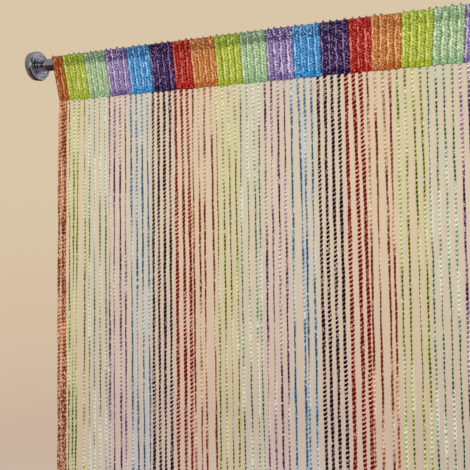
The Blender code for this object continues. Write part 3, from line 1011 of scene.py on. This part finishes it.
# name, place, size, watts, colour
lamps = (
    ("key", (-0.3, -2.1, 1.3), 1.3, 37.0, (1.0, 0.97, 0.93)),
    ("fill", (2.2, -1.7, 0.1), 1.6, 23.0, (0.95, 0.97, 1.0)),
    ("back", (0.9, 1.9, 0.7), 1.6, 20.0, (1.0, 0.96, 0.90)),
)
aim = Vector((0.45, 0.0, -0.3))
view = {
    "place": (0.5654, -0.6909, -0.2556), "yaw": 17.325, "pitch": 2.509, "roll": -0.741,
    "lens": 38.3, "shiftY": -0.0851,
}


def makeFloor():
    mesh = bpy.data.meshes.new("floor")
    bm = bmesh.new()
    bmesh.ops.create_grid(bm, x_segments=4, y_segments=4, size=studio["floorReach"])
    bmesh.ops.translate(bm, verts=bm.verts, vec=(studio["floorX"], 0.0, studio["floorZ"]))
    bm.to_mesh(mesh)
    bm.free()
    material, tree, shader = newMaterial("pale floor")
    shader.inputs["Roughness"].default_value = studio["floorRoughness"]
    shader.inputs["Specular IOR Level"].default_value = studio["floorGloss"]
    where = objectPlace(tree)
    patch = noise(tree, where, studio["patchScale"], detail=3.0)
    tree.links.new(mixColour(tree, patch, linear(studio["floorColour"]), linear(studio["floorPatch"])),
                   shader.inputs["Base Color"])
    # the floor thins out with distance so that it has no hard far edge
    split = separate(tree, where)
    squares = [math2(tree, "POWER", split[axis], 2.0) for axis in "XY"]
    far = math2(tree, "SQRT", plus(tree, *squares))
    tree.links.new(remap(tree, far, studio["fadeStart"], studio["fadeEnd"], 1.0, 0.0), shader.inputs["Alpha"])
    mesh.materials.append(material)
    floor = linkObject("floor", mesh)
    floor.visible_glossy = False        # the chrome mirrors the room of makeWorld down there


def makeWorld():
    world = bpy.data.worlds.new("soft room")
    bpy.context.scene.world = world
    world.use_nodes = True
    tree = world.node_tree
    tree.nodes.clear()
    path = addNode(tree, "LightPath")
    direction = addNode(tree, "TexCoord").outputs["Generated"]
    split = separate(tree, direction)

    def within(*edges):
        # 1 where all these soft edges are passed
        inside = 1.0
        for axis, start, full in edges:
            inside = times(tree, inside, remap(tree, split[axis], start, full))
        return inside

    def background(colour, strength=1.0):
        return addNode(tree, "Background", Color=colour, Strength=strength).outputs["Background"]

    def choose(ray, others, these):
        node = addNode(tree, "MixShader", Fac=path.outputs[ray])
        give(tree, node.inputs[1], others)
        give(tree, node.inputs[2], these)
        return node.outputs["Shader"]

    seen = background(mixColour(tree, remap(tree, split["Z"], *studio["backFade"]),
                                linear(studio["backLow"]), linear(studio["backHigh"])))
    lighting = background((*studio["soft"], 1.0), studio["softStrength"])
    room = mixColour(tree, within(mirrored["lowEdge"]), mirrored["right"], mirrored["rightLow"])
    room = mixColour(tree, within(mirrored["highEdge"]), room, mirrored["rightHigh"])
    room = mixColour(tree, within(mirrored["rightEdge"]), mirrored["left"], room)
    room = mixColour(tree, within(*mirrored["leftLowEdges"]), room, mirrored["leftLow"])
    dark = 0.0
    for edges in mirrored["darkEdges"]:
        dark = math2(tree, "MAXIMUM", dark, within(*edges))
    room = mixColour(tree, dark, room, mirrored["dark"])
    for lamp, edge, middle, level in mirrored["glints"]:
        facing = addNode(tree, "VectorMath")
        facing.operation = "DOT_PRODUCT"
        give(tree, facing.inputs[0], direction)
        give(tree, facing.inputs[1], lamp)
        glint = remap(tree, facing.outputs["Value"], edge, middle)
        room = mixColour(tree, glint, room, (level, level, level, 1.0))
    shown = choose("Is Camera Ray", choose("Is Glossy Ray", lighting, background(room)), seen)
    addNode(tree, "OutputWorld", Surface=shown)


def makeLamps():
    for name, where, size, watts, colour in lamps:
        light = bpy.data.lights.new(name, "AREA")
        light.size = size
        light.energy = watts
        light.color = colour
        lamp = bpy.data.objects.new(name, light)
        lamp.location = where
        lamp.rotation_euler = (aim - Vector(where)).to_track_quat("-Z", "Y").to_euler()
        lamp.visible_glossy = False
        bpy.context.scene.collection.objects.link(lamp)


def makeCamera():
    data = bpy.data.cameras.new("camera")
    data.lens = view["lens"]
    data.shift_y = view["shiftY"]
    camera = bpy.data.objects.new("camera", data)
    yaw, pitch, roll = (math.radians(view[key]) for key in ("yaw", "pitch", "roll"))
    turned = Matrix.Rotation(yaw, 4, "Z") @ Matrix.Rotation(math.pi / 2 + pitch, 4, "X")
    turned = turned @ Matrix.Rotation(roll, 4, "Z")
    camera.matrix_world = Matrix.Translation(view["place"]) @ turned
    bpy.context.scene.collection.objects.link(camera)
    bpy.context.scene.camera = camera


makeCamera()
makeFloor()
makeWorld()
makeLamps()
bpy.context.scene.view_settings.view_transform = "Standard"
print("camera, floor and light made")

chrome = makeChromeMaterial()
makeRod(chrome)
makeEnds(chrome, makeRubberMaterial())
print("rod, cups and pads made")

colours = sorted({colour for colour, count in bands})
knit = makeHeading({colour: makeKnitMaterial(colour) for colour in colours})
picots = makePicots({colour: makePicotMaterial(colour) for colour in colours})
print("heading made,", len(knit.data.polygons), "faces")

yarns = {colour: makeYarnMaterial(colour) for colour in colours}
hung = [makeBandStrings(bandNumber, yarns[colour]) for bandNumber, (colour, count) in enumerate(bands)]
print("strings made,", sum(len(piece.data.polygons) for piece in hung), "faces")
